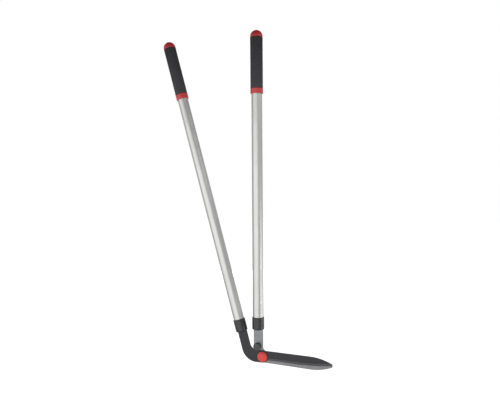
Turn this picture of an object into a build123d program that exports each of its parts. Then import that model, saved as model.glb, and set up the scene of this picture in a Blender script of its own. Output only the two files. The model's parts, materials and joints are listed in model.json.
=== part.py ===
"""Long-handled lawn edging shears, closed.

Frame: +Z runs up the fixed handle, +X points towards the blade tips and +Y points
away from the side that carries the pivot cap. The origin is the middle of the fixed
handle's foam grip, on the handle's axis. All lengths are millimetres.

Two flat steel pieces cross at one pivot. The lower blade and the fixed handle are one
rigid side. The upper blade, the pivot bolt and the leaning handle are the other.
"""
from build123d import *
from math import cos, radians, sin
import os

os.makedirs("parts", exist_ok=True)

# ---------------------------------------------------------------- driving dimensions
# Handles, measured along each handle from the height of the pivot.
FIXED_FERRULE_BOTTOM = 76.8
FIXED_COLLAR_BOTTOM = 760.0
MOVING_FERRULE_BOTTOM = 83.0
MOVING_COLLAR_BOTTOM = 798.5
FIXED_AXIS_SIDE = 14.0        # the fixed handle's axis stands this far to -X of the pivot
MOVING_AXIS_SIDE = 42.6       # the moving handle's axis passes the pivot at this distance
HANDLE_LEAN = 15.2            # degrees from the vertical, towards -X

TUBE_R = 15.75
TUBE_WALL = 1.2
FERRULE_R = 17.9
FERRULE_LENGTH = 36.5
FERRULE_FLOOR = 6.0           # the ferrule's bottom wall, which the tang passes through
FERRULE_CORNER = 4.0
FERRULE_LIP = 0.8             # the rounding of its top rim
COLLAR_R = 18.6
COLLAR_LENGTH = 15.6
COLLAR_EDGE = 0.8
GRIP_R = 18.3
GRIP_LENGTH = 148.5
CAP_SKIRT = 3.3               # the straight rim of the grip cap, below its dome
CAP_STEM_LENGTH = 24.0
CAP_CAVITY_R = 12.0

# Blades.
BLADE_THICKNESS = 3.0
BLADE_GAP = 0.2
HUB_R = 17.4
SPINE_OUT = 18.9              # the spine's distance from the blade's centreline
SPINE_STRAIGHT = 138.0        # where the straight spine ends
TIP_TOP = (200.8, 6.0)
TIP_POINT = (202.8, 2.3)
TIP_LOW = (200.6, -0.9)
EDGE_OUT = 9.7                # how far the cutting edge runs past the centreline
EDGE_STRAIGHT = 85.0
BEVEL_WIDTH = 7.0             # across the blade, up from its cutting edge
BEVEL_DEPTH = 2.3
UPPER_DROOP = 2.5             # degrees that each blade's centreline points below +X
LOWER_DROOP = 2.1

# Tangs.
TANG_HALF_WIDTH = 14.2
FIXED_TANG_SHIFT = 0.6        # the tang's middle, off its handle's axis
MOVING_TANG_SHIFT = 1.2
TAIL_HALF_WIDTH = 10.0        # the narrow tail inside the plug
TAIL_LENGTH = 54.0
OUTER_BEND_R = 45.0
INNER_BEND_R = 21.6
FIXED_BEND_R = 26.0
FLARE_R = 16.0
PLUG_LENGTH = 60.0
SLOT_CLEARANCE = 0.1
RIVET_R = 2.5
RIVET_HALF_LENGTH = 15.4
RIVET_HEIGHT = 18.0           # above the tube's lower end

# Rubber stop on the fixed tang.
BUMPER_R = 10.4
BUMPER_HEIGHT = 9.2
BUMPER_EDGE = 1.5
BUMPER_STEM_R = 4.0
BUMPER_FOOT_R = 6.5
BUMPER_FOOT_HEIGHT = 2.4
BUMPER_GAP = 0.35             # between the closed upper blade and the stop

# Pivot.
BOLT_R = 4.0
BOLT_NECK_HALF = 4.0
NECK_CLEARANCE = 0.05
BOLT_HEAD_R = 9.5
BOLT_HEAD_HEIGHT = 4.5
BOLT_END = 15.2               # Y of the bolt's threaded end
BOLT_END_CHAMFER = 0.8
RUNNING_CLEARANCE = 0.05
BUSH_R = 6.0
BUSH_FLANGE_R = 9.5
BUSH_FLANGE = 1.2
STACK_GAP = 0.1               # between the turning stack and the still flange
SPRING_THICKNESS = 0.8
SPRING_HEIGHT = 1.3
WASHER_R = 8.5
WASHER_THICKNESS = 1.6
WASHER_HOLE_R = 4.2
NUT_ACROSS_FLATS = 13.0
NUT_HEX_HEIGHT = 5.6
NUT_HEIGHT = 8.0
NUT_CROWN_R = 5.9
INSERT_R = 5.2
INSERT_START = 6.0            # from the nut's bearing face
INSERT_HEIGHT = 1.5
PIVOT_CAP_R = 15.8
PIVOT_CAP_HEIGHT = 8.3
PIVOT_CAP_SIDE = 3.4
PIVOT_CAP_EDGE = 1.6
PIVOT_CAP_CAVITY = 5.2        # depth of the socket that clips over the bolt head

# ---------------------------------------------------------------- places
GRIP_START = FIXED_COLLAR_BOTTOM + COLLAR_LENGTH
PIVOT_X = FIXED_AXIS_SIDE
PIVOT_Z = -(GRIP_START + GRIP_LENGTH / 2)

LOWER_FACE_Y = -BLADE_THICKNESS / 2                       # inner face of the lower blade
LOWER_BACK_Y = BLADE_THICKNESS / 2
UPPER_INNER_Y = LOWER_FACE_Y - BLADE_GAP
UPPER_OUTER_Y = UPPER_INNER_Y - BLADE_THICKNESS
MOVING_AXIS_Y = (UPPER_INNER_Y + UPPER_OUTER_Y) / 2


def across(y):
    """The plane through the pivot at this Y, with X right, Z up and its normal to -Y."""
    return Plane(origin=(PIVOT_X, y, PIVOT_Z), x_dir=(1, 0, 0), z_dir=(0, -1, 0))


lean = radians(HANDLE_LEAN)
moving_foot = (
    PIVOT_X - MOVING_AXIS_SIDE * cos(lean),
    MOVING_AXIS_Y,
    PIVOT_Z - MOVING_AXIS_SIDE * sin(lean),
)
fixed_handle = Plane(origin=(0, 0, PIVOT_Z), x_dir=(1, 0, 0), z_dir=(0, 0, 1))
moving_handle = Plane(
    origin=moving_foot, x_dir=(cos(lean), 0, sin(lean)), z_dir=(-sin(lean), 0, cos(lean))
)

# ---------------------------------------------------------------- blades
tang_middle = -MOVING_AXIS_SIDE + MOVING_TANG_SHIFT
tang_outer = tang_middle - TANG_HALF_WIDTH
tang_inner = tang_middle + TANG_HALF_WIDTH
moving_tube_end = MOVING_FERRULE_BOTTOM + FERRULE_FLOOR
fixed_tube_end = FIXED_FERRULE_BOTTOM + FERRULE_FLOOR


def leaning_x(side, height):
    """X, from the pivot, of a line that leans with the moving handle."""
    return (side - height * sin(lean)) / cos(lean)


def along_moving(side, height):
    """A point of the moving handle's frame, seen from the pivot."""
    return (side * cos(lean) - height * sin(lean), side * sin(lean) + height * cos(lean))


# The upper blade's arm and tang, an L that leans to the moving handle.
outer_corner = (leaning_x(tang_outer, -HUB_R), -HUB_R)
inner_corner = (leaning_x(tang_inner, HUB_R), HUB_R)
with BuildSketch(across(UPPER_INNER_Y)) as upper_tang:
    with BuildLine():
        Polyline(
            (0, -HUB_R),
            outer_corner,
            along_moving(tang_outer, moving_tube_end),
            along_moving(tang_inner, moving_tube_end),
            inner_corner,
            (0, HUB_R),
            close=True,
        )
    make_face()
    fillet(upper_tang.vertices().sort_by_distance(outer_corner)[0], OUTER_BEND_R)
    fillet(upper_tang.vertices().sort_by_distance(inner_corner)[0], INNER_BEND_R)

# The lower blade's tang, upright on the fixed handle, flared where it meets the hub.
fixed_left = -FIXED_AXIS_SIDE + FIXED_TANG_SHIFT - TANG_HALF_WIDTH
fixed_right = fixed_left + 2 * TANG_HALF_WIDTH
lower_corner = (fixed_left, -HUB_R)
flare_corner = (fixed_right, HUB_R)
with BuildSketch(across(LOWER_FACE_Y)) as lower_tang:
    with BuildLine():
        Polyline(
            (0, -HUB_R),
            lower_corner,
            (fixed_left, fixed_tube_end),
            (fixed_right, fixed_tube_end),
            (fixed_right, 0),
            close=True,
        )
    make_face()
    fillet(lower_tang.vertices().sort_by_distance(lower_corner)[0], FIXED_BEND_R)
    Circle(HUB_R)
    fillet(lower_tang.vertices().sort_by_distance(flare_corner)[0], FLARE_R)

# One blade's outline, spine up, along +X from the pivot.
with BuildSketch() as blade_outline:
    with BuildLine():
        spine = Line((0, HUB_R), (SPINE_STRAIGHT, SPINE_OUT))
        TangentArc(spine @ 1, TIP_TOP, tangent=spine % 1)
        ThreePointArc(TIP_TOP, TIP_POINT, TIP_LOW)
        TangentArc((EDGE_STRAIGHT, -EDGE_OUT), TIP_LOW, tangent=(1, 0))
        Line((0, -EDGE_OUT), (EDGE_STRAIGHT, -EDGE_OUT))
        Line((0, -EDGE_OUT), (0, HUB_R))
    make_face()
upper_outline = blade_outline.sketch.rotate(Axis.Z, -UPPER_DROOP)
lower_outline = mirror(blade_outline.sketch, about=Plane.XZ).rotate(Axis.Z, -LOWER_DROOP)


def is_cutting_edge(edge, droop, side):
    """True for an edge of a blade face that lies along its sharp side."""
    middle = edge.position_at(0.5)
    along = middle.X - PIVOT_X
    up = middle.Z - PIVOT_Z
    off = up * cos(radians(droop)) + along * sin(radians(droop))
    reach = along * cos(radians(droop)) - up * sin(radians(droop))
    low = EDGE_STRAIGHT / 4
    high = TIP_LOW[0] - 1
    return low < reach < high and -EDGE_OUT - 1 < side * off < 0


# Where the round stop stands: just clear of the closed upper blade's inside bend.
bumper_place = (
    leaning_x(tang_inner + INNER_BEND_R, HUB_R + INNER_BEND_R),
    HUB_R + BUMPER_GAP + BUMPER_R,
)

# ---------------------------------------------------------------- upper blade
with BuildPart() as upper_blade:
    with BuildSketch(across(UPPER_INNER_Y)):
        add(upper_tang.sketch_local)
        Circle(HUB_R)
        add(upper_outline)
        with BuildLine():
            Polyline(
                along_moving(-MOVING_AXIS_SIDE - TAIL_HALF_WIDTH, moving_tube_end - HUB_R),
                along_moving(-MOVING_AXIS_SIDE - TAIL_HALF_WIDTH, moving_tube_end + TAIL_LENGTH),
                along_moving(-MOVING_AXIS_SIDE + TAIL_HALF_WIDTH, moving_tube_end + TAIL_LENGTH),
                along_moving(-MOVING_AXIS_SIDE + TAIL_HALF_WIDTH, moving_tube_end - HUB_R),
                close=True,
            )
        make_face()
    extrude(amount=BLADE_THICKNESS)
    outer_face = upper_blade.faces().sort_by(Axis.Y)[0]
    sharp = outer_face.edges().filter_by(lambda edge: is_cutting_edge(edge, UPPER_DROOP, 1))
    chamfer(sharp, length=BEVEL_WIDTH, length2=BEVEL_DEPTH, reference=outer_face)
    with BuildSketch(across(UPPER_INNER_Y)):
        Rectangle(2 * (BOLT_NECK_HALF + NECK_CLEARANCE), 2 * (BOLT_NECK_HALF + NECK_CLEARANCE))
        with Locations(along_moving(-MOVING_AXIS_SIDE, moving_tube_end + RIVET_HEIGHT)):
            Circle(RIVET_R)
    extrude(amount=BLADE_THICKNESS, mode=Mode.SUBTRACT)
upper_blade.part.label = "upper_blade"
export_step(upper_blade.part, "parts/upper_blade.step")

# ---------------------------------------------------------------- lower blade
with BuildPart() as lower_blade:
    with BuildSketch(across(LOWER_BACK_Y)):
        add(lower_tang.sketch_local)
        add(lower_outline)
        with Locations((-FIXED_AXIS_SIDE, fixed_tube_end)):
            Rectangle(2 * TAIL_HALF_WIDTH, 2 * TAIL_LENGTH)
    extrude(amount=BLADE_THICKNESS)
    back_face = lower_blade.faces().sort_by(Axis.Y)[-1]
    sharp = back_face.edges().filter_by(lambda edge: is_cutting_edge(edge, LOWER_DROOP, -1))
    chamfer(sharp, length=BEVEL_WIDTH, length2=BEVEL_DEPTH, reference=back_face)
    with BuildSketch(across(LOWER_BACK_Y)):
        Circle(BUSH_R)
        with Locations(bumper_place):
            Circle(BUMPER_STEM_R)
        with Locations((-FIXED_AXIS_SIDE, fixed_tube_end + RIVET_HEIGHT)):
            Circle(RIVET_R)
    extrude(amount=BLADE_THICKNESS, mode=Mode.SUBTRACT)
lower_blade.part.label = "lower_blade"
export_step(lower_blade.part, "parts/lower_blade.step")

# ---------------------------------------------------------------- rubber stop
with BuildPart() as bumper:
    with BuildSketch(across(LOWER_FACE_Y)):
        with Locations(bumper_place):
            Circle(BUMPER_R)
    extrude(amount=BUMPER_HEIGHT)
    fillet(bumper.faces().sort_by(Axis.Y)[0].edges(), BUMPER_EDGE)
    with BuildSketch(across(LOWER_BACK_Y)):
        with Locations(bumper_place):
            Circle(BUMPER_STEM_R)
    extrude(amount=BLADE_THICKNESS)
    with BuildSketch(across(LOWER_BACK_Y)):
        with Locations(bumper_place):
            Circle(BUMPER_FOOT_R)
    extrude(amount=-BUMPER_FOOT_HEIGHT)
    fillet(bumper.faces().sort_by(Axis.Y)[-1].edges(), BUMPER_FOOT_HEIGHT / 2)
bumper.part.label = "bumper"
export_step(bumper.part, "parts/bumper.step")

# ---------------------------------------------------------------- handles
handles = {
    "fixed": (fixed_handle, FIXED_FERRULE_BOTTOM, FIXED_COLLAR_BOTTOM, FIXED_TANG_SHIFT),
    "moving": (moving_handle, MOVING_FERRULE_BOTTOM, MOVING_COLLAR_BOTTOM, MOVING_TANG_SHIFT),
}
tube_bore_r = TUBE_R - TUBE_WALL
for side, (foot, ferrule_bottom, collar_bottom, tang_shift) in handles.items():
    tube_end = ferrule_bottom + FERRULE_FLOOR
    grip_start = collar_bottom + COLLAR_LENGTH
    grip_end = grip_start + GRIP_LENGTH
    up = Axis(foot.origin, foot.z_dir)
    rivet_plane = Plane(
        origin=foot.from_local_coords(Vector(0, 0, tube_end + RIVET_HEIGHT)),
        x_dir=foot.x_dir,
        z_dir=foot.y_dir,
    )
    cap_plane = Plane(
        origin=foot.from_local_coords(Vector(0, 0, grip_end)),
        x_dir=foot.x_dir,
        z_dir=-foot.y_dir,
    )

    with BuildPart() as tube:
        with BuildSketch(foot.offset(tube_end)):
            Circle(TUBE_R)
            Circle(tube_bore_r, mode=Mode.SUBTRACT)
        extrude(amount=grip_end - tube_end)
        with BuildSketch(rivet_plane):
            Circle(RIVET_R)
        extrude(amount=TUBE_R, both=True, mode=Mode.SUBTRACT)
    tube.part.label = f"{side}_tube"
    export_step(tube.part, f"parts/{side}_tube.step")

    with BuildPart() as tang_plug:
        with BuildSketch(foot.offset(tube_end)):
            Circle(tube_bore_r)
        extrude(amount=PLUG_LENGTH)
        with BuildSketch(foot.offset(tube_end)):
            Rectangle(
                2 * (TAIL_HALF_WIDTH + SLOT_CLEARANCE), BLADE_THICKNESS + 2 * SLOT_CLEARANCE
            )
        extrude(amount=TAIL_LENGTH + SLOT_CLEARANCE, mode=Mode.SUBTRACT)
        with BuildSketch(rivet_plane):
            Circle(RIVET_R)
        extrude(amount=TUBE_R, both=True, mode=Mode.SUBTRACT)
    tang_plug.part.label = f"{side}_tang_plug"
    export_step(tang_plug.part, f"parts/{side}_tang_plug.step")

    with BuildPart() as tang_rivet:
        with BuildSketch(rivet_plane):
            Circle(RIVET_R)
        extrude(amount=RIVET_HALF_LENGTH, both=True)
    tang_rivet.part.label = f"{side}_tang_rivet"
    export_step(tang_rivet.part, f"parts/{side}_tang_rivet.step")

    with BuildPart() as ferrule:
        with BuildSketch(foot.offset(ferrule_bottom)):
            Circle(FERRULE_R)
        extrude(amount=FERRULE_LENGTH)
        fillet(ferrule.edges().sort_by(up)[0], FERRULE_CORNER)
        fillet(ferrule.edges().sort_by(up)[-1], FERRULE_LIP)
        with BuildSketch(foot.offset(tube_end)):
            Circle(TUBE_R)
        extrude(amount=FERRULE_LENGTH, mode=Mode.SUBTRACT)
        with BuildSketch(foot.offset(ferrule_bottom)):
            with Locations((tang_shift, 0)):
                Rectangle(
                    2 * (TANG_HALF_WIDTH + SLOT_CLEARANCE), BLADE_THICKNESS + 2 * SLOT_CLEARANCE
                )
        extrude(amount=FERRULE_FLOOR, mode=Mode.SUBTRACT)
    ferrule.part.label = f"{side}_ferrule"
    export_step(ferrule.part, f"parts/{side}_ferrule.step")

    with BuildPart() as collar:
        with BuildSketch(foot.offset(collar_bottom)):
            Circle(COLLAR_R)
            Circle(TUBE_R, mode=Mode.SUBTRACT)
        extrude(amount=COLLAR_LENGTH)
        rims = collar.edges().filter_by(GeomType.CIRCLE).sort_by(SortBy.RADIUS)[-2:]
        fillet(rims, COLLAR_EDGE)
    collar.part.label = f"{side}_collar"
    export_step(collar.part, f"parts/{side}_collar.step")

    with BuildPart() as foam_grip:
        with BuildSketch(foot.offset(grip_start)):
            Circle(GRIP_R)
            Circle(TUBE_R, mode=Mode.SUBTRACT)
        extrude(amount=GRIP_LENGTH)
    foam_grip.part.label = f"{side}_foam_grip"
    export_step(foam_grip.part, f"parts/{side}_foam_grip.step")

    with BuildPart() as grip_cap:
        with BuildSketch(cap_plane):
            with BuildLine():
                Line((0, CAP_SKIRT + CAP_CAVITY_R), (0, CAP_SKIRT + GRIP_R))
                CenterArc((0, CAP_SKIRT), GRIP_R, 0, 90)
                Polyline(
                    (GRIP_R, CAP_SKIRT),
                    (GRIP_R, 0),
                    (tube_bore_r, 0),
                    (tube_bore_r, -CAP_STEM_LENGTH),
                    (CAP_CAVITY_R, -CAP_STEM_LENGTH),
                    (CAP_CAVITY_R, CAP_SKIRT),
                )
                CenterArc((0, CAP_SKIRT), CAP_CAVITY_R, 0, 90)
            make_face()
        revolve(axis=up)
    grip_cap.part.label = f"{side}_grip_cap"
    export_step(grip_cap.part, f"parts/{side}_grip_cap.step")

# ---------------------------------------------------------------- pivot
def section(y):
    """The plane for a section turned about the pivot: radius right, and up to -Y from y."""
    return Plane(origin=(PIVOT_X, y, PIVOT_Z), x_dir=(1, 0, 0), z_dir=(0, 0, -1))


pivot_axis = Axis((PIVOT_X, 0, PIVOT_Z), (0, -1, 0))

with BuildPart() as pivot_bolt:
    with BuildSketch(section(UPPER_OUTER_Y)):
        with BuildLine():
            head = TangentArc((0, BOLT_HEAD_HEIGHT), (BOLT_HEAD_R, 0), tangent=(1, 0))
            Polyline(head @ 1, (0, 0), head @ 0)
        make_face()
    revolve(axis=pivot_axis)
    with BuildSketch(across(UPPER_OUTER_Y)):
        Rectangle(2 * BOLT_NECK_HALF, 2 * BOLT_NECK_HALF)
    extrude(amount=NECK_CLEARANCE - BLADE_THICKNESS)
    with BuildSketch(across(UPPER_OUTER_Y)):
        Circle(BOLT_R)
    extrude(amount=UPPER_OUTER_Y - BOLT_END)
    chamfer(pivot_bolt.edges().sort_by(Axis.Y)[-1], BOLT_END_CHAMFER)
pivot_bolt.part.label = "pivot_bolt"
export_step(pivot_bolt.part, "parts/pivot_bolt.step")

with BuildPart() as pivot_cap:
    with BuildSketch(section(UPPER_OUTER_Y)) as cap_section:
        with BuildLine():
            dome = TangentArc(
                (0, PIVOT_CAP_HEIGHT), (PIVOT_CAP_R, PIVOT_CAP_SIDE), tangent=(1, 0)
            )
            Polyline(
                dome @ 1,
                (PIVOT_CAP_R, 0),
                (BOLT_HEAD_R, 0),
                (BOLT_HEAD_R, PIVOT_CAP_CAVITY),
                (0, PIVOT_CAP_CAVITY),
                dome @ 0,
            )
        make_face()
        shoulder = (PIVOT_CAP_R, PIVOT_CAP_SIDE)
        fillet(cap_section.vertices().sort_by_distance(shoulder)[0], PIVOT_CAP_EDGE)
    revolve(axis=pivot_axis)
pivot_cap.part.label = "pivot_cap"
export_step(pivot_cap.part, "parts/pivot_cap.step")

with BuildPart() as pivot_bush:
    with BuildSketch(across(LOWER_FACE_Y)):
        Circle(BUSH_R)
    extrude(amount=-BLADE_THICKNESS)
    with BuildSketch(across(LOWER_BACK_Y)):
        Circle(BUSH_FLANGE_R)
    extrude(amount=-BUSH_FLANGE)
    with BuildSketch(across(LOWER_FACE_Y)):
        Circle(BOLT_R + RUNNING_CLEARANCE)
    extrude(amount=-BLADE_THICKNESS - BUSH_FLANGE, mode=Mode.SUBTRACT)
pivot_bush.part.label = "pivot_bush"
export_step(pivot_bush.part, "parts/pivot_bush.step")

spring_y = LOWER_BACK_Y + BUSH_FLANGE + STACK_GAP
washer_y = spring_y + SPRING_HEIGHT
nut_y = washer_y + WASHER_THICKNESS

with BuildPart() as disc_spring:
    with BuildSketch(section(spring_y)):
        Polygon(
            (WASHER_R, 0),
            (WASHER_R, -SPRING_THICKNESS),
            (WASHER_HOLE_R, -SPRING_HEIGHT),
            (WASHER_HOLE_R, SPRING_THICKNESS - SPRING_HEIGHT),
            align=None,
        )
    revolve(axis=pivot_axis)
disc_spring.part.label = "disc_spring"
export_step(disc_spring.part, "parts/disc_spring.step")

with BuildPart() as plain_washer:
    with BuildSketch(across(washer_y)):
        Circle(WASHER_R)
        Circle(WASHER_HOLE_R, mode=Mode.SUBTRACT)
    extrude(amount=-WASHER_THICKNESS)
plain_washer.part.label = "plain_washer"
export_step(plain_washer.part, "parts/plain_washer.step")

with BuildPart() as lock_nut:
    with BuildSketch(across(nut_y)):
        RegularPolygon(NUT_ACROSS_FLATS / 2, 6, major_radius=False)
    extrude(amount=-NUT_HEX_HEIGHT)
    with BuildSketch(across(nut_y)):
        Circle(NUT_CROWN_R)
    extrude(amount=-NUT_HEIGHT)
    with BuildSketch(across(nut_y)):
        Circle(BOLT_R)
    extrude(amount=-NUT_HEIGHT, mode=Mode.SUBTRACT)
    with BuildSketch(across(nut_y + INSERT_START)):
        Circle(INSERT_R)
    extrude(amount=-INSERT_HEIGHT, mode=Mode.SUBTRACT)
lock_nut.part.label = "lock_nut"
export_step(lock_nut.part, "parts/lock_nut.step")

with BuildPart() as nut_insert:
    with BuildSketch(across(nut_y + INSERT_START)):
        Circle(INSERT_R)
        Circle(BOLT_R, mode=Mode.SUBTRACT)
    extrude(amount=-INSERT_HEIGHT)
nut_insert.part.label = "nut_insert"
export_step(nut_insert.part, "parts/nut_insert.step")
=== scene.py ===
"""Looks for the long-handled lawn edging shears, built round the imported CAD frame.

Everything is in metres in the frame of the CAD model: +Z up the fixed handle, +X towards
the blade tips and -Y towards the side that carries the red pivot cap. Turned pieces are
drawn in millimetres as a (radius, height, rounding) section on their own axis.
"""
import json
from math import acos, asin, ceil, cos, degrees, pi, radians, sin, sqrt, tau

import bmesh
import bpy
from mathutils import Euler, Matrix, Vector, noise

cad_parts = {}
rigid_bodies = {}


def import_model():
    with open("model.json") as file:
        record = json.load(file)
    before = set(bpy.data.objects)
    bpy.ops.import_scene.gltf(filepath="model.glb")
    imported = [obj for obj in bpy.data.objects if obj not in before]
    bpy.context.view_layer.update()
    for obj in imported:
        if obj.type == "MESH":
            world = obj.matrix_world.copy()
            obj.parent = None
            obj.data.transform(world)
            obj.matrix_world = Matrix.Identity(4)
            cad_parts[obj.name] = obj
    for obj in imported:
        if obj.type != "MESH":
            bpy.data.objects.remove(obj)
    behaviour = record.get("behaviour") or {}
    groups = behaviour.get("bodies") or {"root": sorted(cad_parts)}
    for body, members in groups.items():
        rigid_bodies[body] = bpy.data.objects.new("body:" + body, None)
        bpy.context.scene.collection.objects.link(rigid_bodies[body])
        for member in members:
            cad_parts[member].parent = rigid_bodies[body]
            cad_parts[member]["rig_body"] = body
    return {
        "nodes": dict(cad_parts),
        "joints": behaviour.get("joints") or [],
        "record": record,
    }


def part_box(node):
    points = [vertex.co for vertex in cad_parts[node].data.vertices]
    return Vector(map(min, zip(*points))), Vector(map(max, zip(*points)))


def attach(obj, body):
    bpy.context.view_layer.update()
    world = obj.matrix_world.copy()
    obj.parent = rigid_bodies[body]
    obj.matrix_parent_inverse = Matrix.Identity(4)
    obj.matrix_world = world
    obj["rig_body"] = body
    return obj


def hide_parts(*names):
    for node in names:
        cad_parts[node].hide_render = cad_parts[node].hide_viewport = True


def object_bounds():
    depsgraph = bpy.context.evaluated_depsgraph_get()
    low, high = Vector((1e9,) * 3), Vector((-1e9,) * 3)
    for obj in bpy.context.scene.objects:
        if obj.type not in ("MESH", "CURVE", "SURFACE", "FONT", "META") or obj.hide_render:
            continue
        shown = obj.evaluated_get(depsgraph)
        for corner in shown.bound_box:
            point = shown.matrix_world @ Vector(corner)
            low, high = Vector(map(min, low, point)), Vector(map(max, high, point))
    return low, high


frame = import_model()
cad_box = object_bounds()

MM = 0.001
PIVOT = Vector(frame["joints"][0]["pos_m"])
MOUNTS = {mount["name"]: mount for mount in frame["record"]["mounts"]}


# ------------------------------------------------------------------ places and measures
def place_on(origin, up, side=(1, 0, 0)):
    """A frame whose Z runs along up from the origin, with its X turned towards side."""
    z = Vector(up).normalized()
    y = z.cross(Vector(side)).normalized()
    x = y.cross(z)
    return Matrix.Translation(Vector(origin)) @ Matrix((x, y, z)).transposed().to_4x4()


def middle(node):
    """The middle of a CAD node's box."""
    low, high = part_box(node)
    return (low + high) / 2


class Measure:
    """Heights and radii of a CAD node about an axis, in millimetres."""

    def __init__(self, node, place):
        to_axis = place.inverted()
        points = [to_axis @ v.co / MM for v in frame["nodes"][node].data.vertices]
        radii = [p.to_2d().length for p in points]
        self.low = min(p.z for p in points)
        self.high = max(p.z for p in points)
        self.inner = min(radii)
        self.outer = max(radii)


HANDLES = {
    "fixed": place_on(MOUNTS["fixed_grip"]["pos_m"], MOUNTS["fixed_grip"]["axis"]),
    "moving": place_on(MOUNTS["moving_grip"]["pos_m"], MOUNTS["moving_grip"]["axis"]),
}
PIVOT_AXIS = place_on(PIVOT, (0, -1, 0))
BACK_AXIS = place_on(PIVOT, (0, 1, 0))


# ------------------------------------------------------------------ material building
class Paint:
    """One node material. Noise sizes and bump depths are given in millimetres."""

    def __init__(self, name, base, roughness, metallic=0.0):
        self.material = bpy.data.materials.new(name)
        self.material.use_nodes = True
        self.tree = self.material.node_tree
        self.shader = self.tree.nodes["Principled BSDF"]
        self.shader.inputs["Metallic"].default_value = metallic
        self.coords = self.node("ShaderNodeTexCoord").outputs["Object"]
        self.color = self.solid(base)
        self.roughness = roughness
        self.normal = None

    def node(self, kind, sockets=None, **settings):
        """Adds a shader node. A socket among the values is linked, any other value is set."""
        made = self.tree.nodes.new(kind)
        for key, value in settings.items():
            setattr(made, key, value)
        for key, value in (sockets or {}).items():
            if isinstance(value, bpy.types.NodeSocket):
                self.tree.links.new(value, made.inputs[key])
            else:
                made.inputs[key].default_value = value
        return made

    def solid(self, color):
        made = self.node("ShaderNodeRGB")
        made.outputs[0].default_value = (*color, 1)
        return made.outputs[0]

    def noise(self, size, stretch=(1, 1, 1), detail=4, shift=0.0):
        """Soft noise of about this size, drawn out along an axis where stretch is over 1."""
        scale = [1 / (size * MM * s) for s in stretch]
        mapping = self.node(
            "ShaderNodeMapping",
            {"Vector": self.coords, "Scale": scale, "Location": (shift, shift, shift)},
        )
        grain = self.node(
            "ShaderNodeTexNoise", {"Vector": mapping.outputs[0], "Scale": 1, "Detail": detail}
        )
        return grain.outputs["Fac"]

    def cells(self, size, shift=0.0):
        """Distance to the nearest cell centre of a foam or grit pattern."""
        mapping = self.node(
            "ShaderNodeMapping",
            {"Vector": self.coords, "Scale": [1 / (size * MM)] * 3, "Location": [shift] * 3},
        )
        grain = self.node("ShaderNodeTexVoronoi", {"Vector": mapping.outputs[0], "Scale": 1})
        return grain.outputs["Distance"]

    def spread(self, value, low, high, bottom=0.0, top=1.0):
        """Maps what lies between low and high onto bottom to top."""
        made = self.node(
            "ShaderNodeMapRange",
            {"Value": value, "From Min": low, "From Max": high, "To Min": bottom, "To Max": top},
        )
        return made.outputs["Result"]

    def times(self, first, second):
        return self.node("ShaderNodeMath", {0: first, 1: second}, operation="MULTIPLY").outputs[0]

    def tint(self, amount, color):
        """Lays a colour over the base by this amount."""
        made = self.node("ShaderNodeMix", data_type="RGBA")
        self.tree.links.new(amount, made.inputs["Factor"])
        self.tree.links.new(self.color, made.inputs["A"])
        made.inputs["B"].default_value = (*color, 1)
        self.color = made.outputs["Result"]

    def bump(self, height, depth):
        """Adds a bump map over the ones before it."""
        sockets = {"Height": height, "Distance": depth * MM, "Strength": 1.0}
        if self.normal:
            sockets["Normal"] = self.normal
        self.normal = self.node("ShaderNodeBump", sockets).outputs[0]

    def rims(self, radius, soft=0.06):
        """About 1 along outer and inner edges, and 0 on open surfaces."""
        rounded = self.node("ShaderNodeBevel", {"Radius": radius * MM}, samples=4)
        surface = self.node("ShaderNodeNewGeometry")
        match = self.node(
            "ShaderNodeVectorMath",
            {0: rounded.outputs[0], 1: surface.outputs["Normal"]},
            operation="DOT_PRODUCT",
        )
        return self.spread(match.outputs["Value"], 1 - soft / 10, 1 - soft)

    def facing(self, axis):
        """How far the surface faces along an axis, from -1 to 1."""
        surface = self.node("ShaderNodeNewGeometry")
        parts = self.node("ShaderNodeSeparateXYZ", {0: surface.outputs["True Normal"]})
        return parts.outputs[axis]

    def along(self, axis):
        """The place along one of the object's axes, in metres."""
        return self.node("ShaderNodeSeparateXYZ", {0: self.coords}).outputs[axis]

    def side_on(self, start, end):
        """Rises from 0 to 1 as the surface turns away from facing along Y."""
        across = self.node("ShaderNodeMath", {0: self.facing("Y")}, operation="ABSOLUTE")
        return self.spread(across.outputs[0], start, end)

    def finish(self):
        """Links the colour, the roughness and the bumps to the shader."""
        self.tree.links.new(self.color, self.shader.inputs["Base Color"])
        if isinstance(self.roughness, bpy.types.NodeSocket):
            self.tree.links.new(self.roughness, self.shader.inputs["Roughness"])
        else:
            self.shader.inputs["Roughness"].default_value = self.roughness
        if self.normal:
            self.tree.links.new(self.normal, self.shader.inputs["Normal"])
        return self.material


FOAM_PAINTED_SHADE = (0.075, -0.075)  # heights on a grip between which the painted shade fades, darkest at the top and palest lower down
HONED_FADE = (0.03, 0.045)    # the stretch along X where the honed edge fades in


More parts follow.
